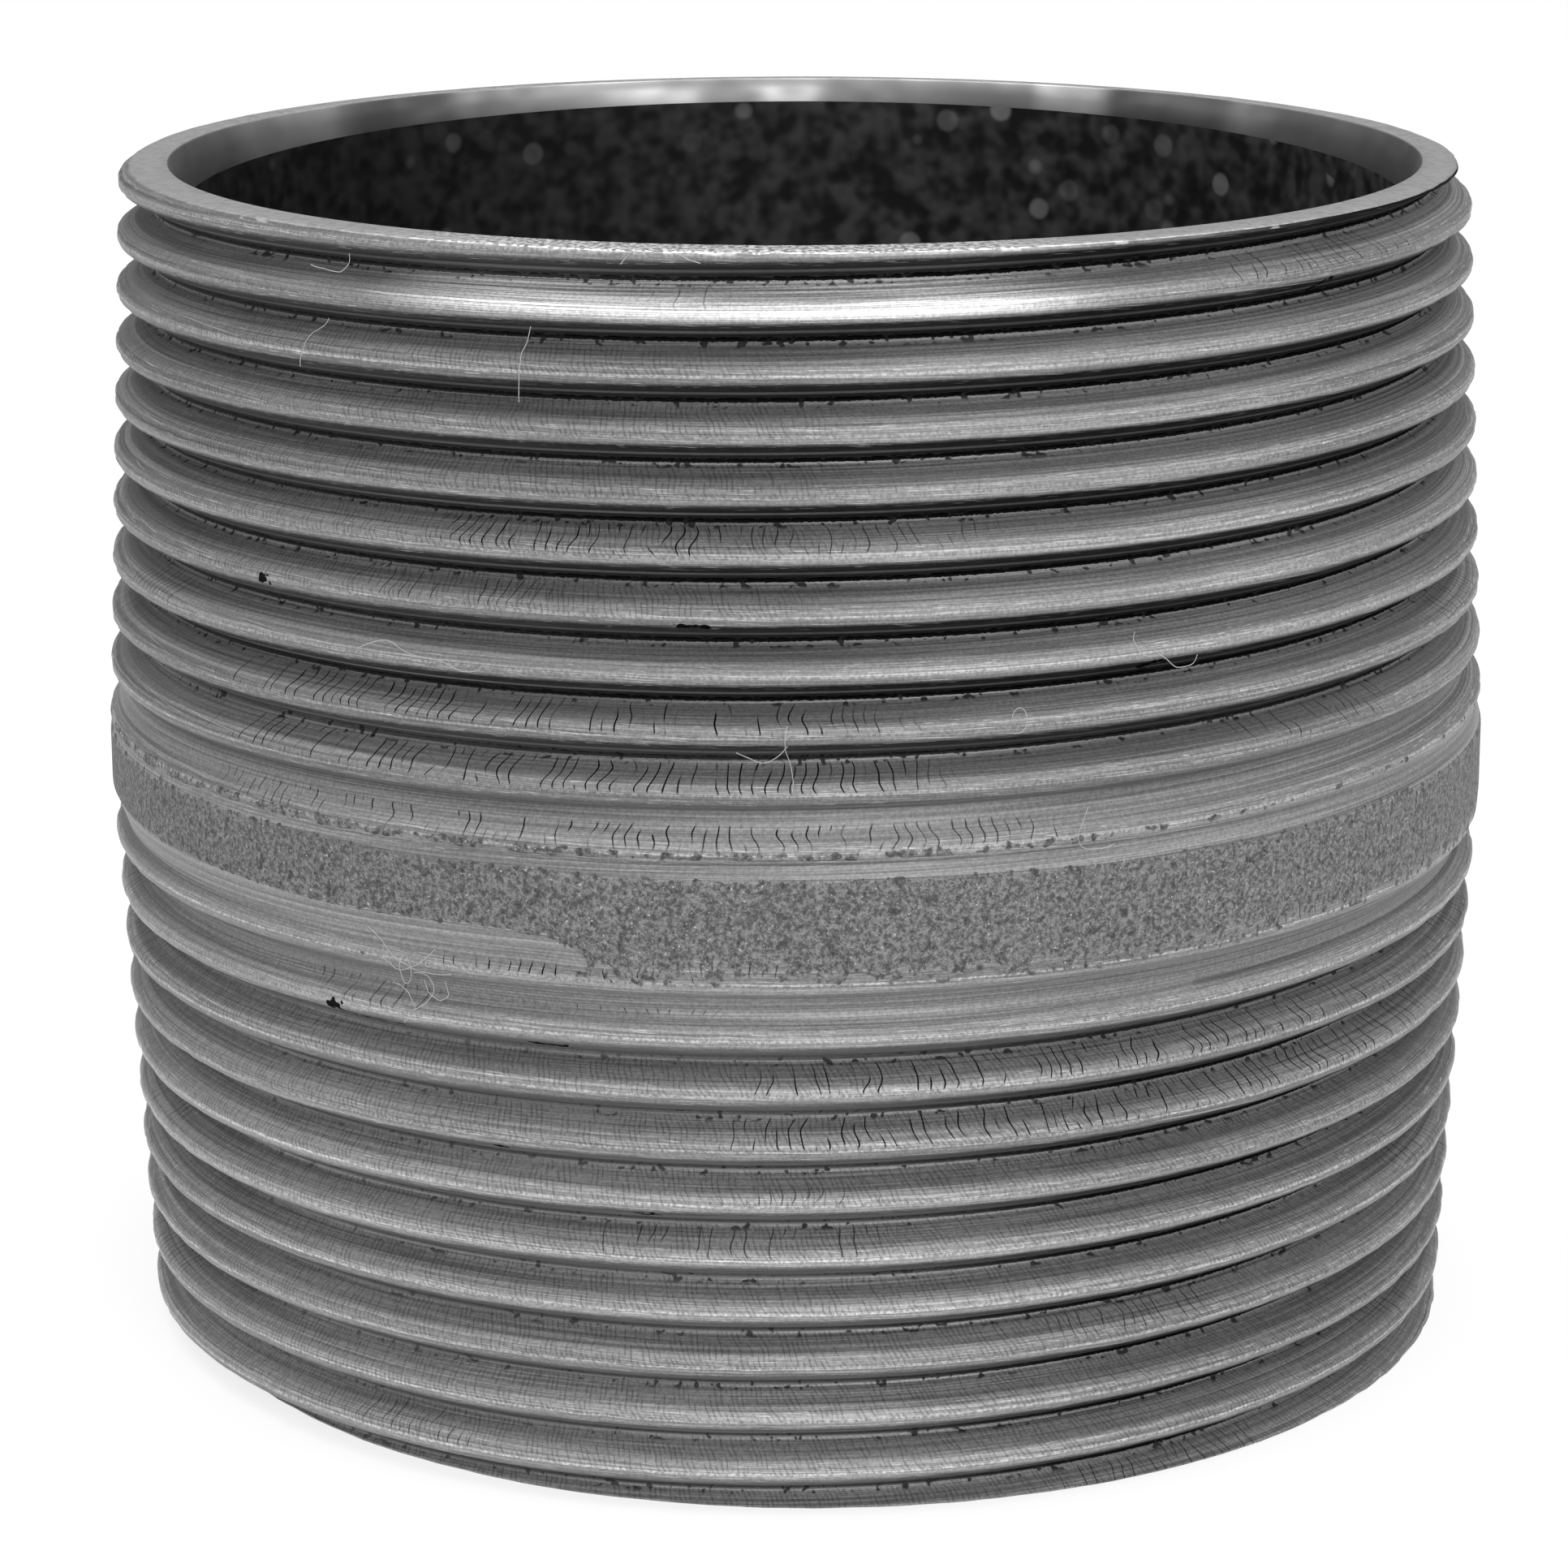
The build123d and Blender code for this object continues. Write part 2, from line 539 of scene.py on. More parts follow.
# %% [markdown]
# ## Finishes
# One mesh carries all the finishes: the cut thread with what is left of the skin, the sawn ring, the
# reamed cone, the rough bore and the lint. Each is a small function of procedural nodes, and the faces
# are given theirs by place.

# %% Helpers for node materials
def new_material(name):
    material = bpy.data.materials.new(name)
    material.use_nodes = True
    tree = material.node_tree
    shader = next(node for node in tree.nodes if node.type == "BSDF_PRINCIPLED")
    return material, tree, shader


def add_node(tree, kind, label="", **settings):
    node = tree.nodes.new(kind)
    node.label = label
    for key, value in settings.items():
        setattr(node, key, value)
    return node


def wire(tree, output, target):
    """Joins an output to a socket, or sets the socket where a plain number is given."""
    if isinstance(output, (int, float)):
        target.default_value = output
    else:
        tree.links.new(output, target)


def calculate(tree, operation, first, second=0.0, third=None, label=""):
    node = add_node(tree, "ShaderNodeMath", label, operation=operation)
    wire(tree, first, node.inputs[0])
    wire(tree, second, node.inputs[1])
    if third is not None:
        wire(tree, third, node.inputs[2])
    return node.outputs[0]


def ramp(tree, value, low, high, to_low=0.0, to_high=1.0, label=""):
    """Maps low..high to to_low..to_high with soft ends, and holds outside it."""
    node = add_node(tree, "ShaderNodeMapRange", label, interpolation_type="SMOOTHSTEP")
    wire(tree, value, node.inputs["Value"])
    wire(tree, low, node.inputs["From Min"])
    wire(tree, high, node.inputs["From Max"])
    wire(tree, to_low, node.inputs["To Min"])
    wire(tree, to_high, node.inputs["To Max"])
    return node.outputs["Result"]


def noise(tree, vector, scale, detail, roughness, label=""):
    node = add_node(tree, "ShaderNodeTexNoise", label)
    tree.links.new(vector, node.inputs["Vector"])
    node.inputs["Scale"].default_value = scale
    node.inputs["Detail"].default_value = detail
    node.inputs["Roughness"].default_value = roughness
    return node.outputs["Fac"]


def stretched(tree, factors):
    """Object coordinates in millimetres, each multiplied by its own factor."""
    coordinates = add_node(tree, "ShaderNodeTexCoord")
    scaled = add_node(tree, "ShaderNodeVectorMath", operation="MULTIPLY")
    tree.links.new(coordinates.outputs["Object"], scaled.inputs[0])
    scaled.inputs[1].default_value = [factor / mm for factor in factors]
    return scaled.outputs[0]


def blend(tree, share, first, second):
    node = add_node(tree, "ShaderNodeMix", data_type="FLOAT")
    wire(tree, share, node.inputs["Factor"])
    wire(tree, first, node.inputs[2])
    wire(tree, second, node.inputs[3])
    return node.outputs[0]


def add_bump(tree, shader, height, distance):
    node = add_node(tree, "ShaderNodeBump")
    node.inputs["Strength"].default_value = 1.0
    node.inputs["Distance"].default_value = distance
    tree.links.new(height, node.inputs["Height"])
    tree.links.new(node.outputs["Normal"], shader.inputs["Normal"])


def grey(tree, value):
    node = add_node(tree, "ShaderNodeCombineColor")
    for socket in node.inputs[:3]:
        tree.links.new(value, socket)
    return node.outputs["Color"]


# %% [markdown]
# More helpers pick out places on the pipe by the angle from the front, in degrees, and the height, in
# millimetres. The angle's jump lies at the back, where no mark crosses it. A window is a soft band
# between two values. A patch is a rounded rectangle, given by its middle and its half width and height.

# %% Helpers for places on the pipe
degree = math.pi / 180 * outer_radius / mm


def window(tree, value, low, high, soft):
    rise = ramp(tree, value, low - soft, low + soft)
    return calculate(tree, "MULTIPLY", rise, ramp(tree, value, high - soft, high + soft, 1.0, 0.0))


def place_on_pipe(tree, coordinates):
    """The angle from the front, the height, and a vector of the two."""
    split = add_node(tree, "ShaderNodeSeparateXYZ")
    tree.links.new(coordinates, split.inputs[0])
    to_front = calculate(tree, "MULTIPLY", split.outputs[1], -1.0)
    around = calculate(tree, "ARCTAN2", split.outputs[0], to_front)
    around = calculate(tree, "MULTIPLY", around, 180 / math.pi, label="angle from the front")
    joined = add_node(tree, "ShaderNodeCombineXYZ")
    tree.links.new(around, joined.inputs[0])
    tree.links.new(split.outputs[2], joined.inputs[1])
    return around, split.outputs[2], joined.outputs[0]


def nearness(tree, place, patches):
    """Under one inside the nearest of the patches (degrees, mm, half degrees, half mm), over it outside."""
    nearest = None
    for turn, height, half_turn, half_height in patches:
        scaled = add_node(tree, "ShaderNodeVectorMath", operation="MULTIPLY_ADD")
        tree.links.new(place, scaled.inputs[0])
        scaled.inputs[1].default_value = (1 / half_turn, 1 / half_height, 0.0)
        scaled.inputs[2].default_value = (-turn / half_turn, -height / half_height, 0.0)
        squared = add_node(tree, "ShaderNodeVectorMath", operation="MULTIPLY")
        tree.links.new(scaled.outputs[0], squared.inputs[0])
        tree.links.new(scaled.outputs[0], squared.inputs[1])
        length = add_node(tree, "ShaderNodeVectorMath", operation="LENGTH")
        tree.links.new(squared.outputs[0], length.inputs[0])
        found = length.outputs["Value"]
        nearest = found if nearest is None else calculate(tree, "MINIMUM", nearest, found)
    return nearest


def patch(tree, place, patches, inner, outer):
    return ramp(tree, nearness(tree, place, patches), inner, outer, 1.0, 0.0)


def strongest(tree, marks):
    total = marks[0]
    for mark in marks[1:]:
        total = calculate(tree, "MAXIMUM", total, mark)
    return total


def crack_lines(tree, around, height, bend, count, slant, sway, width, shortness, seed):
    """Upright cracks, count of them round the pipe, each wavy and broken into pieces of its own."""
    turn = calculate(tree, "MULTIPLY_ADD", around, count / 360, calculate(tree, "MULTIPLY", bend, sway))
    turn = calculate(tree, "MULTIPLY_ADD", height, slant, turn)
    across = calculate(tree, "ABSOLUTE", calculate(tree, "SUBTRACT", calculate(tree, "FRACT", turn), 0.5))
    line = ramp(tree, across, width * 0.4, width, 1.0, 0.0)
    own_place = add_node(tree, "ShaderNodeCombineXYZ")
    tree.links.new(calculate(tree, "MULTIPLY_ADD", calculate(tree, "FLOOR", turn), 7.31, seed),
                   own_place.inputs[0])
    tree.links.new(calculate(tree, "MULTIPLY", height, shortness), own_place.inputs[2])
    pieces = ramp(tree, noise(tree, own_place.outputs[0], 1.0, 0.0, 0.5), 0.36, 0.54)
    return calculate(tree, "MULTIPLY", line, pieces)


# %% [markdown]
# ### Where the steel is torn or hatched, and where light and shade are painted
# How torn and hatched the steel is changes slowly over the surface, and so do the painted shade under the
# crests, the painted light on the lower left and the upper right and the painted sheen on one crest at
# the front. So it is worked out here once for each point and kept as two attributes, which is far quicker
# than nodes that work it out again for each ray. A patch is a rounded rectangle: its middle in degrees
# from the front and millimetres up, then its half width and half height in the same units.

# %% Keep the tears, the hatch and the painted light and shade as attributes
torn_patches = [(-21, 30.8, 31, 2.8), (28, 16.8, 34, 2.4), (-17, 40.4, 14, 1.1), (-16, 22.0, 13, 0.9)]
hatch_patches = [(0, 9.0, 300, 11.5), (-30, 41.5, 34, 6.0)]
# Painted light: patches where the thread is painted brighter, on the lower left and the upper right.
painted_light_lower_left = [(-38, 6.0, 58, 17.0)]
painted_light_upper_right = [(24, 46.0, 20, 12.0)]
# Painted sheen: one crest near the top at the front is painted brighter.
painted_sheen_patch = [(-5, 49.0, 24, 0.7)]


def place_of(places):
    """The angle from the front in degrees and the height in millimetres."""
    return np.degrees(np.arctan2(places[:, 0], -places[:, 1])), places[:, 2] / mm


def turn_between(turns, turn):
    return np.mod(turns - turn + 180, 360) - 180


def on_patches(turns, heights, patches, inner, outer):
    """One on the patches, zero off them, and soft between the inner and outer share of their size."""
    nearest = np.full_like(turns, 99.0)
    for turn, height, half_turn, half_height in patches:
        sideways = (turn_between(turns, turn) / half_turn) ** 2
        nearest = np.minimum(nearest, np.hypot(sideways, ((heights - height) / half_height) ** 2))
    return 1 - smooth_step(nearest, inner, outer)


def facing(turns, turn, near, far):
    """One on the side of the pipe round an angle, zero where it is far from it."""
    return 1 - smooth_step(np.abs(turn_between(turns, turn)), near, far)


points = read_points(nipple)
turns, heights = place_of(points)
scattered = wobble(np.radians(turns), points[:, 2], 31, (2, 9), (0.3, 1.0))
torn = np.maximum(on_patches(turns, heights, torn_patches, 0.7, 1.4), 0.7 * smooth_step(scattered, 0.5, 0.9))
# Painted shade: how strongly the underside of each crest and the root are painted dark. It is strongest on
# the upper thread, weaker on the left, and on the lower thread strongest to the right.
painted_shade_below = (0.5 + 0.45 * facing(turns, 90, 58, 95)) * (1 - smooth_step(heights, 18.0, 22.5))
painted_shade = (smooth_step(heights, 27.6, 33.0) + painted_shade_below) * (1 - 0.32 * facing(turns, -120, 50, 150))
# Painted light: the lower left and the upper right of the thread are painted brighter.
painted_light_gain = 1 + 0.35 * on_patches(turns, heights, painted_light_lower_left, 0.4, 1.6)
painted_light_gain += 0.25 * on_patches(turns, heights, painted_light_upper_right, 0.3, 1.7)
hatched = 0.4 * on_patches(turns, heights, hatch_patches, 0.7, 1.4)
# The painted shade under the crests is lifted on the left side.
painted_shade_lifted = 0.25 + 0.5 * facing(turns, -110, 75, 145)
# Painted sheen: a bright smear is painted on one crest near the top at the front.
painted_sheen = on_patches(turns, heights, painted_sheen_patch, 0.3, 1.8)
for name, columns in (("tears_and_painted_light_and_shade", (torn, painted_shade, painted_light_gain)), ("rubbing", (hatched, painted_shade_lifted, painted_sheen))):
    kept = nipple.data.attributes.new(name, "FLOAT_VECTOR", "POINT")
    kept.data.foreach_set("vector", np.column_stack(columns).ravel())
    print(name, "runs up to", [round(float(column.max()), 2) for column in columns])

# %% [markdown]
# ### Cut steel and old skin
# The die leaves fine lines along the helix. They come from noise that is read at the place on the
# thread: the sine and cosine of the phase change fast across a flank, and the position hardly changes
# along it. The underside of each crest is painted darker as shade, most on the upper thread and to the
# right, and a black line of painted shade runs in the root. Bright specks and a bright line at the top
# of the crests, the lighter lower left and upper right and a sheen on one crest at the front are painted
# light. Where the die tore the metal, rows of short upright cracks cross the upper flanks, and the lower
# thread has a finer slanting hatch. Where the surface lies less than a few hundredths under the pipe's
# outside, the skin is still there, dark and grainy, with a broken edge.
# The larger black chips are placed one by one. Cracks, hatch, skin and chips cost time wherever they are
# worked out, so this finish comes in five versions, and each face gets the plainest one that shows all
# that it has.

# %% The thread's finish
steel_shine = 0.38
skin_shine = 0.1
line_depth = 0.016
grain_depth = 0.15
chips = [
    (46.7, 48.24, 0.35 / degree, 0.3),
    (-45.7, 36.76, 0.35 / degree, 0.22),
    (-7.8, 36.72, 0.8 / degree, 0.1),
    (27.6, 34.35, 0.35 / degree, 0.25),
    (29.2, 34.5, 0.4 / degree, 0.12),
    (-23.8, 14.97, 0.3 / degree, 0.2),
    (-11.6, 12.7, 0.6 / degree, 0.16),
    (-38.2, 19.75, 0.5 / degree, 0.3),
    (-35.0, 19.35, 1.4 / degree, 0.1),
    (-20.3, 19.41, 1.1 / degree, 0.14),
]


def read_attribute(tree, name):
    attribute = add_node(tree, "ShaderNodeAttribute", attribute_name=name)
    split = add_node(tree, "ShaderNodeSeparateXYZ")
    tree.links.new(attribute.outputs["Vector"], split.inputs[0])
    return attribute.outputs["Vector"], split.outputs


def thread_finish(name, *extras):
    """Cut steel, with those extras that the faces need: cracks, hatch, skin and chips."""
    material, tree, shader = new_material(name)
    thread_vector, (flank, crest, depth) = read_attribute(tree, "thread_place")
    torn, painted_shade, painted_light_gain = read_attribute(tree, "tears_and_painted_light_and_shade")[1]
    hatched, painted_shade_lifted, painted_sheen = read_attribute(tree, "rubbing")[1]
    in_mm = stretched(tree, (1, 1, 1))
    around, height, place = place_on_pipe(tree, in_mm)

    slow = stretched(tree, (0.03, 0.03, 0.45))
    spread = add_node(tree, "ShaderNodeVectorMath", operation="MULTIPLY")
    tree.links.new(thread_vector, spread.inputs[0])
    spread.inputs[1].default_value = (2.6, 2.6, 0.0)
    joined = add_node(tree, "ShaderNodeVectorMath", operation="ADD")
    tree.links.new(spread.outputs[0], joined.inputs[0])
    tree.links.new(slow, joined.inputs[1])
    fine_lines = noise(tree, joined.outputs[0], 3.4, 2.0, 0.7, "fine lines along the helix")
    broad_lines = noise(tree, joined.outputs[0], 0.9, 1.0, 0.5, "broad lines along the helix")
    grain = noise(tree, in_mm, 7.0, 1.0, 0.7, "grain")
    coarse = noise(tree, in_mm, 2.4, 1.0, 0.6, "broken edges")

    dark = []
    if "cracks" in extras or "hatch" in extras:
        bend = noise(tree, stretched(tree, (0.45, 0.45, 1.5)), 1.0, 0.0, 0.5, "sway of the cracks")
    if "cracks" in extras:
        cracks = crack_lines(tree, around, height, bend, 380, 0.0, 1.5, 0.09, 1.0, 4.0)
        cracks = calculate(tree, "MULTIPLY", cracks, ramp(tree, flank, 0.1, 0.6))
        dark.append(calculate(tree, "MULTIPLY", cracks, torn))
    if "hatch" in extras:
        hatch = crack_lines(tree, around, height, bend, 820, 2.6, 2.0, 0.24, 2.4, 9.0)
        hatch = calculate(tree, "MULTIPLY", hatch, ramp(tree, flank, -0.3, 0.3))
        dark.append(calculate(tree, "MULTIPLY", hatch, hatched))

    # Painted shade: the underside of each crest is painted darker, and its shine is cut further down.
    under_crest = calculate(tree, "MULTIPLY_ADD", crest, -0.25, calculate(tree, "MULTIPLY", flank, -1.0))
    under_crest = ramp(tree, under_crest, 0.1, 0.75, 0.0, 0.97)
    painted_shade_lifted = calculate(tree, "MULTIPLY", painted_shade_lifted, window(tree, crest, -0.5, -0.2, 0.08))
    painted_shade_lifted = calculate(tree, "MULTIPLY", painted_shade_lifted, ramp(tree, flank, 0.0, -0.3))
    under_crest = calculate(tree, "MULTIPLY", under_crest, calculate(tree, "SUBTRACT", 1.0, painted_shade_lifted))
    painted_shade_factor = calculate(tree, "MULTIPLY", calculate(tree, "MULTIPLY", under_crest, painted_shade), -1.0)
    painted_shade_factor = calculate(tree, "ADD", painted_shade_factor, 1.0, label="old oil under each crest")

    # Painted shade: a black line is painted along the root. Dark crumbs beside it appear only where the
    # painted shade lies.
    jagged = calculate(tree, "MULTIPLY_ADD", coarse, 0.3, calculate(tree, "SUBTRACT", crest, 0.15))
    in_root = ramp(tree, jagged, -0.95, -0.86, 1.0, 0.0)
    below_root = ramp(tree, calculate(tree, "MULTIPLY_ADD", grain, -0.3, flank), -0.12, -0.02, 1.0, 0.0)
    painted_root_shade = calculate(tree, "MULTIPLY", calculate(tree, "MULTIPLY", in_root, below_root), painted_shade)
    beside_root = ramp(tree, crest, -0.93, -0.6, 1.0, 0.0)
    crumbs = calculate(tree, "MULTIPLY", ramp(tree, coarse, 0.58, 0.66), beside_root)
    crumbs = calculate(tree, "MULTIPLY", crumbs, ramp(tree, painted_shade, 0.15, 0.5))
    dark += [painted_root_shade, calculate(tree, "MULTIPLY", crumbs, 0.75)]
    if "chips" in extras:
        frayed = calculate(tree, "MULTIPLY_ADD", coarse, 6.0, -2.7)
        near_chip = calculate(tree, "ADD", nearness(tree, place, chips), frayed)
        dark.append(ramp(tree, near_chip, 0.6, 1.0, 1.0, 0.0, "chips"))
    dark = strongest(tree, dark)

    steel = ramp(tree, broad_lines, 0.3, 0.7, 0.14, 0.22, "steel")
    steel = calculate(tree, "MULTIPLY", steel, ramp(tree, grain, 0.3, 0.7, 0.82, 1.15))
    steel = calculate(tree, "MULTIPLY", steel, ramp(tree, fine_lines, 0.35, 0.65, 0.72, 1.3))
    steel = calculate(tree, "MULTIPLY", steel, painted_shade_factor)
    # The painted sheen on one front crest and the painted light on the lower left and upper right brighten
    # the steel.
    painted_sheen = calculate(tree, "MULTIPLY", painted_sheen, ramp(tree, fine_lines, 0.35, 0.65, 1.1, 3.0))
    painted_light_gain = calculate(tree, "ADD", painted_sheen, painted_light_gain)
    # Painted highlight: a bright line is painted along the top of each crest, stronger on the lower thread.
    crest_line = window(tree, flank, -0.02, 0.24, 0.07)
    crest_line = calculate(tree, "MULTIPLY", crest_line, ramp(tree, crest, 0.5, 0.9))
    crest_line = calculate(tree, "MULTIPLY", crest_line, ramp(tree, grain, 0.35, 0.65, 0.2, 1.0))
    crest_line = calculate(tree, "MULTIPLY", crest_line, ramp(tree, height, 26.0, 22.0, 0.45, 0.85))
    painted_light_gain = calculate(tree, "ADD", crest_line, painted_light_gain, label="brighter where it was rubbed")
    steel = calculate(tree, "MULTIPLY", steel, painted_light_gain)
    # Painted glints: bright specks are painted on the crests.
    fleck_place = add_node(tree, "ShaderNodeVectorMath", operation="MULTIPLY_ADD")
    tree.links.new(thread_vector, fleck_place.inputs[0])
    fleck_place.inputs[1].default_value = (5.0, 5.0, 0.0)
    tree.links.new(stretched(tree, (0.5, 0.5, 0.5)), fleck_place.inputs[2])
    painted_glints = ramp(tree, noise(tree, fleck_place.outputs[0], 2.4, 1.0, 0.7), 0.63, 0.7)
    painted_glints = calculate(tree, "MULTIPLY", painted_glints, ramp(tree, crest, 0.0, 0.6), label="bright flecks")
    steel = calculate(tree, "MULTIPLY_ADD", painted_glints, 0.22, steel)
    steel = calculate(tree, "MULTIPLY", steel, ramp(tree, dark, 0.0, 1.0, 1.0, 0.04))

    gloss = calculate(tree, "MAXIMUM", ramp(tree, fine_lines, 0.3, 0.7, 0.4, 0.56), dark)
    relief = calculate(tree, "MULTIPLY", fine_lines, line_depth)
    shader.inputs["Metallic"].default_value = steel_shine
    if "skin" in extras:
        speckle = noise(tree, in_mm, 5.0, 2.0, 0.85, "grains of the skin")
        skin_colour = ramp(tree, speckle, 0.34, 0.7, 0.05, 0.2, "skin")
        skin_colour = calculate(tree, "MULTIPLY_ADD", ramp(tree, grain, 0.68, 0.76), 0.25, skin_colour)
        skin_colour = calculate(tree, "MULTIPLY", skin_colour, ramp(tree, coarse, 0.32, 0.4, 0.5, 1.0))
        shifted = calculate(tree, "ADD", depth, ramp(tree, coarse, 0.25, 0.75, -0.04, 0.05))
        skin = ramp(tree, shifted, 0.05, 0.065, 1.0, 0.0, "where the skin is left")
        steel = blend(tree, skin, steel, skin_colour)
        tree.links.new(ramp(tree, skin, 0.0, 1.0, steel_shine, skin_shine), shader.inputs["Metallic"])
        gloss = calculate(tree, "MAXIMUM", gloss, ramp(tree, skin, 0.0, 1.0, 0.0, 0.65))
        grains = calculate(tree, "MULTIPLY", speckle, grain_depth)
        relief = blend(tree, ramp(tree, depth, 0.05, 0.07, 1.0, 0.0), relief, grains)
    tree.links.new(grey(tree, steel), shader.inputs["Base Color"])
    tree.links.new(gloss, shader.inputs["Roughness"])
    # The shine is cut too where shade is painted and on the dark marks.
    dulling = calculate(tree, "MAXIMUM", calculate(tree, "MULTIPLY", under_crest, painted_shade), dark)
    tree.links.new(ramp(tree, dulling, 0.0, 0.85, 0.5, 0.02), shader.inputs["Specular IOR Level"])
    add_bump(tree, shader, relief, mm)
    return material


# %% [markdown]
# ### Sawn ring, reamed cone and bore
# The saw left the ring flat and dull, with a torn burr at the front of the upper rim, whose ragged
# brightness is a painted highlight. The reamer left a smoother cone, whose colour is darker at two places
# at the back and lighter at two others. The bore keeps the mill's coating: nearly black and rough, with a
# few grains painted lighter as glints, and darker towards its left side as painted shade.

# %% The other finishes
cone_blotches = [
    (0.35, [(138.5, 49, 8, 9)]),
    (0.55, [(-136, 49, 7, 9)]),
    (1.8, [(150, 49, 4, 9)]),
    (1.5, [(-118.5, 49, 8, 9)]),
]
# The burr's patch on the upper rim: its ragged brightness is a painted highlight.
burr_with_painted_highlight = [(-5, 51.0, 24, 9.0)]


def plain_metal(name, dark, light, rough_low, rough_high, vector, scale, relief, blotches=(), burr=()):
    """Grey metal whose colour, gloss and relief follow one noise."""
    material, tree, shader = new_material(name)
    pattern = noise(tree, stretched(tree, vector), scale, 2.0, 0.65)
    colour = ramp(tree, pattern, 0.3, 0.7, dark, light)
    in_mm = stretched(tree, (1, 1, 1))
    place = place_on_pipe(tree, in_mm)[2]
    for strength, patches in blotches:
        share = calculate(tree, "MULTIPLY_ADD", patch(tree, place, patches, 0.4, 1.7), strength - 1, 1.0)
        colour = calculate(tree, "MULTIPLY", colour, share)
    # Painted highlight: the burr is painted in ragged lighter scraps, with a few darker ones.
    if burr:
        scraps = ramp(tree, noise(tree, in_mm, 4.0, 1.0, 0.6), 0.42, 0.6, -0.14, 0.42)
        colour = calculate(tree, "MULTIPLY_ADD", patch(tree, place, burr, 0.3, 1.7), scraps, colour)
    tree.links.new(grey(tree, colour), shader.inputs["Base Color"])
    shader.inputs["Metallic"].default_value = 1.0
    tree.links.new(ramp(tree, pattern, 0.3, 0.7, rough_high, rough_low), shader.inputs["Roughness"])
    add_bump(tree, shader, pattern, relief)
    return material


def bore_finish():
    material, tree, shader = new_material("bore_coating")
    in_mm = stretched(tree, (1, 1, 1))
    grain = noise(tree, in_mm, 0.9, 1.0, 0.7, "rough coating")
    cells = add_node(tree, "ShaderNodeTexVoronoi", "grains painted with sparkle", feature="F1")
    tree.links.new(in_mm, cells.inputs["Vector"])
    cells.inputs["Scale"].default_value = 0.5
    near = ramp(tree, cells.outputs["Distance"], 0.2, 0.32, 1.0, 0.0)
    lucky = add_node(tree, "ShaderNodeSeparateColor")
    tree.links.new(cells.outputs["Color"], lucky.inputs[0])
    # Painted glints: a few grains are painted lighter to stand for sparkle.
    painted_sparkle = calculate(tree, "MULTIPLY", near, ramp(tree, lucky.outputs[0], 0.3, 1.1))
    colour = calculate(tree, "MULTIPLY_ADD", painted_sparkle, 0.07, ramp(tree, grain, 0.3, 0.75, 0.003, 0.028))
    # Painted shade: the bore is painted darker towards its left side.
    sideways = add_node(tree, "ShaderNodeSeparateXYZ")
    tree.links.new(in_mm, sideways.inputs[0])
    colour = calculate(tree, "MULTIPLY", colour, ramp(tree, sideways.outputs[0], -26, 8, 0.3, 1.15))
    tree.links.new(grey(tree, colour), shader.inputs["Base Color"])
    shader.inputs["Metallic"].default_value = 0.0
    shader.inputs["Specular IOR Level"].default_value = 0.12
    shader.inputs["Roughness"].default_value = 0.7
    add_bump(tree, shader, grain, 0.12 * mm)
    return material


def lint_finish():
    material, tree, shader = new_material("lint")
    shader.inputs["Base Color"].default_value = (0.32, 0.32, 0.32, 1)
    shader.inputs["Roughness"].default_value = 0.9
    return material


finishes = [
    thread_finish("cut_steel"),
    plain_metal("sawn_ring", 0.28, 0.5, 0.42, 0.55, (1, 1, 1), 2.5, 0.015 * mm, burr=burr_with_painted_highlight),
    plain_metal("reamed_cone", 0.16, 0.34, 0.34, 0.5, (0.18, 0.18, 0.3), 1.0, 0.03 * mm, cone_blotches),
    bore_finish(),
    lint_finish(),
    thread_finish("hatched_steel", "hatch"),
    thread_finish("torn_steel", "hatch", "cracks"),
    thread_finish("steel_and_skin", "hatch", "cracks", "skin"),
    thread_finish("chipped_steel", "hatch", "cracks", "skin", "chips"),
]
nipple.data.materials.clear()
for finish in finishes:
    nipple.data.materials.append(finish)
finish_number = {finish.name: number for number, finish in enumerate(finishes)}
print("finishes:", ", ".join(finish_number))

# %% [markdown]
# A face's finish follows from where the face lies: flat at an end, sloping at a mouth, inside the pipe,
# or on the thread. On the thread, a face near a chip, near the skin, in a torn place or in the hatch gets
# the version that shows it. The lint's faces come last in the mesh, after those of the pipe.

# %% Give each face its finish
end_reach = 0.03 * mm
cone_reach = 3.0 * mm
skin_reach = 0.35 * mm
chip_margin = 0.6
face_count = len(nipple.data.polygons)
centres = np.empty(face_count * 3)
normals = np.empty(face_count * 3)
nipple.data.polygons.foreach_get("center", centres)
nipple.data.polygons.foreach_get("normal", normals)
centres, normals = centres.reshape(-1, 3), normals.reshape(-1, 3)
face_radius = np.hypot(centres[:, 0], centres[:, 1])
from_end = np.minimum(centres[:, 2], overall_length - centres[:, 2])
inside = face_radius < mouth_radius + 0.25 * mm
ring = (from_end < end_reach) & (np.abs(normals[:, 2]) > 0.8)
cone = inside & ~ring & (np.abs(normals[:, 2]) > 0.1) & (from_end < cone_reach)
face_turns, face_heights = place_of(centres)
on_hatch = on_patches(face_turns, face_heights, hatch_patches, 0.7, 1.5) > 0
first_corner = np.empty(face_count, dtype=np.int32)
nipple.data.polygons.foreach_get("loop_start", first_corner)
corners = np.empty(len(nipple.data.loops), dtype=np.int32)
nipple.data.loops.foreach_get("vertex_index", corners)
on_torn = np.maximum.reduceat(torn[corners], first_corner) > 0
near_skin = outer_radius - face_radius < skin_reach
on_chip = np.zeros(face_count, dtype=bool)
for turn, height, half_turn, half_height in chips:
    sideways = np.abs(turn_between(face_turns, turn)) < 2.5 * half_turn + chip_margin / degree
    on_chip |= sideways & (np.abs(face_heights - height) < 2.5 * half_height + chip_margin)
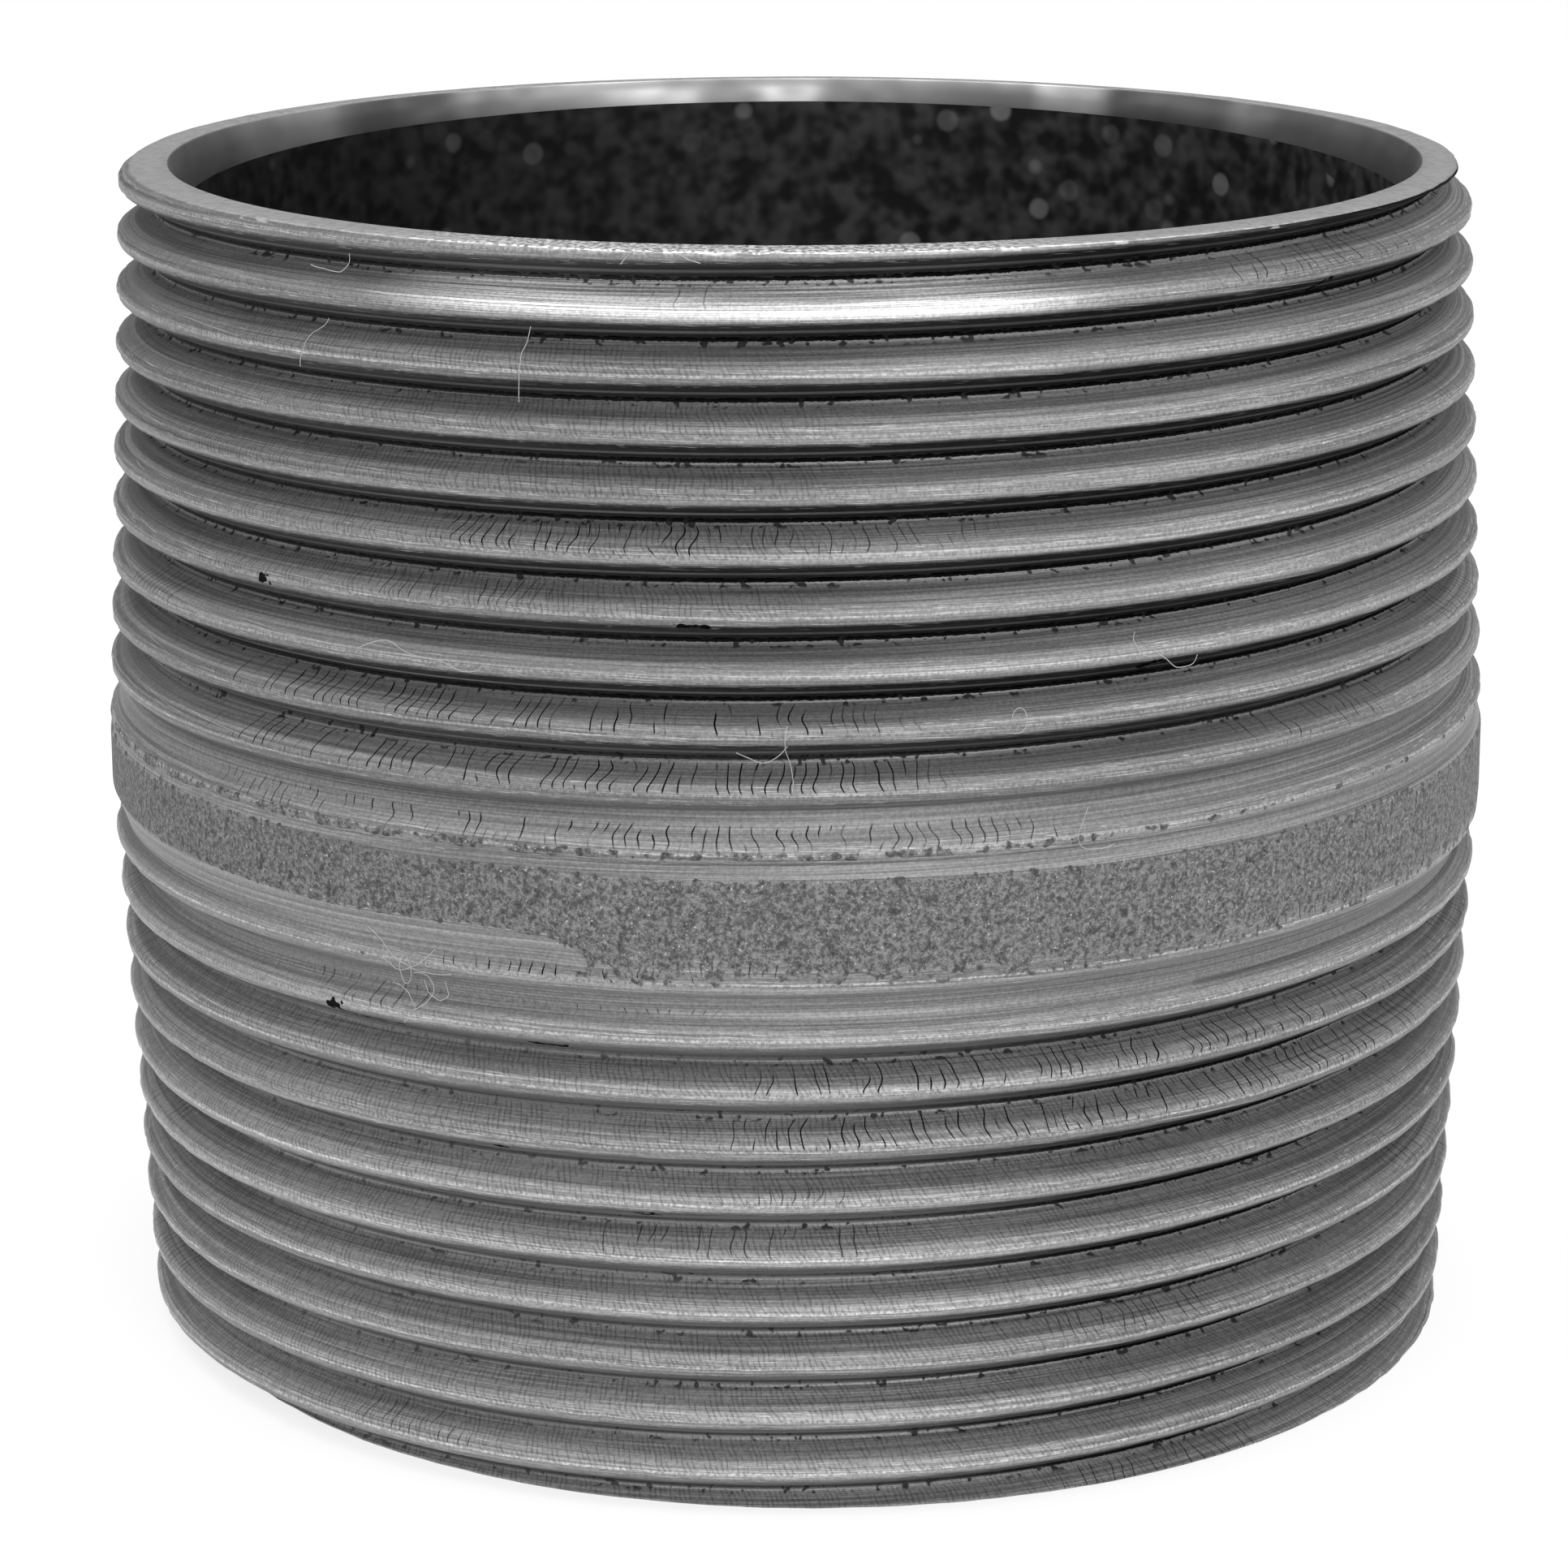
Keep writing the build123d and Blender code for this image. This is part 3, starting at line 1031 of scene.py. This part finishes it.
choices = {
    "sawn_ring": ring,
    "reamed_cone": cone,
    "bore_coating": inside,
    "chipped_steel": on_chip,
    "steel_and_skin": near_skin,
    "torn_steel": on_torn,
    "hatched_steel": on_hatch,
}
chosen_numbers = [finish_number[name] for name in choices]
finish_of_face = np.select(list(choices.values()), chosen_numbers, finish_number["cut_steel"])
finish_of_face[pipe_faces:] = finish_number["lint"]
nipple.data.polygons.foreach_set("material_index", finish_of_face.astype(np.int32))
nipple.data.polygons.foreach_set("use_smooth", np.ones(face_count, dtype=bool))
nipple.data.update()
print("faces per finish", np.bincount(finish_of_face))

# %% [markdown]
# Every face is shaded smooth, except across the edges that are sharper than the crests' own rounding.
# Then the mesh is handed over: it rides the part's only body and stands in for the engineering piece.

# %% Keep the rims crisp
crease_angle = math.radians(48)

deselect_everything()
nipple.select_set(True)
bpy.context.view_layer.objects.active = nipple
bpy.ops.object.shade_smooth_by_angle(angle=crease_angle)

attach(nipple, "root")
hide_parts("pipe_nipple")
print("mesh", nipple.name, "replaces the engineering piece")

# %% [markdown]
# ## Floor and light
# The pipe stands on a plain pale floor. Its colour is near white, and the camera and the reflections see
# it whiter still through the Light Path node, so the background is white without more light on the
# steel.

# %% The floor
floor_size = 4.0
floor_glow = 0.8


def floor_material():
    material, tree, shader = new_material("pale_floor")
    shader.inputs["Base Color"].default_value = (0.86, 0.86, 0.86, 1)
    shader.inputs["Roughness"].default_value = 0.9
    shader.inputs["Specular IOR Level"].default_value = 0.1
    glow = add_node(tree, "ShaderNodeEmission")
    glow.inputs["Strength"].default_value = 1.0
    path = add_node(tree, "ShaderNodeLightPath")
    seen = calculate(tree, "MAXIMUM", path.outputs["Is Camera Ray"], path.outputs["Is Glossy Ray"])
    seen = calculate(tree, "MAXIMUM", seen, path.outputs["Is Transmission Ray"])
    share = calculate(tree, "MULTIPLY", seen, floor_glow)
    mix = add_node(tree, "ShaderNodeMixShader")
    output = next(node for node in tree.nodes if node.type == "OUTPUT_MATERIAL")
    tree.links.new(share, mix.inputs[0])
    tree.links.new(shader.outputs[0], mix.inputs[1])
    tree.links.new(glow.outputs[0], mix.inputs[2])
    tree.links.new(mix.outputs[0], output.inputs["Surface"])
    return material


deselect_everything()
bpy.ops.mesh.primitive_plane_add(size=floor_size, location=(0, 0, 0))
floor = bpy.context.object
floor.name = "floor"
floor.data.materials.append(floor_material())
print("the floor is", floor_size, "m wide")

# %% [markdown]
# A large box overhead gives most of the light. One in front lifts the near side, and a small one on
# each side draws the bright edge of every crest. All of them face a point a little above the floor.

# %% The lamps
aim = (0, 0, 0.03)


def soft_box(name, place, width, height, power):
    lamp = bpy.data.lights.new(name, "AREA")
    lamp.shape = "RECTANGLE"
    lamp.size = width
    lamp.size_y = height
    lamp.energy = power
    obj = bpy.data.objects.new(name, lamp)
    bpy.context.scene.collection.objects.link(obj)
    direction = Vector(aim) - Vector(place)
    obj.matrix_world = (
        Matrix.Translation(place) @ direction.to_track_quat("-Z", "Y").to_matrix().to_4x4()
    )
    print(name, "shines with", power, "W")


soft_box("front_box", (0.15, -0.75, 0.36), 0.6, 0.4, 4.0)
soft_box("left_box", (-0.6, -0.1, 0.35), 0.4, 0.4, 0.6)
soft_box("right_box", (0.6, -0.2, 0.4), 0.3, 0.4, 0.9)
soft_box("top_box", (0.0, 0.0, 0.8), 1.0, 0.8, 8.0)

# %% [markdown]
# The room itself is dim at the level of the eye and brighter overhead, as a room with a pale ceiling is.
# Steel shows this as the fall of its shine from the upper to the lower side of each crest.

# %% The world
world = bpy.data.worlds.new("soft_room")
bpy.context.scene.world = world
world.use_nodes = True
sky_tree = world.node_tree
direction = add_node(sky_tree, "ShaderNodeTexCoord")
upward = add_node(sky_tree, "ShaderNodeSeparateXYZ")
sky_tree.links.new(direction.outputs["Generated"], upward.inputs[0])
brightness = ramp(sky_tree, upward.outputs["Z"], -0.1, 0.95, 0.07, 0.7)
background = next(node for node in sky_tree.nodes if node.type == "BACKGROUND")
sky_tree.links.new(grey(sky_tree, brightness), background.inputs["Color"])
background.inputs["Strength"].default_value = 1.0

bpy.context.scene.view_settings.view_transform = "Standard"
print("the room's colours are set, and the picture uses the Standard view")
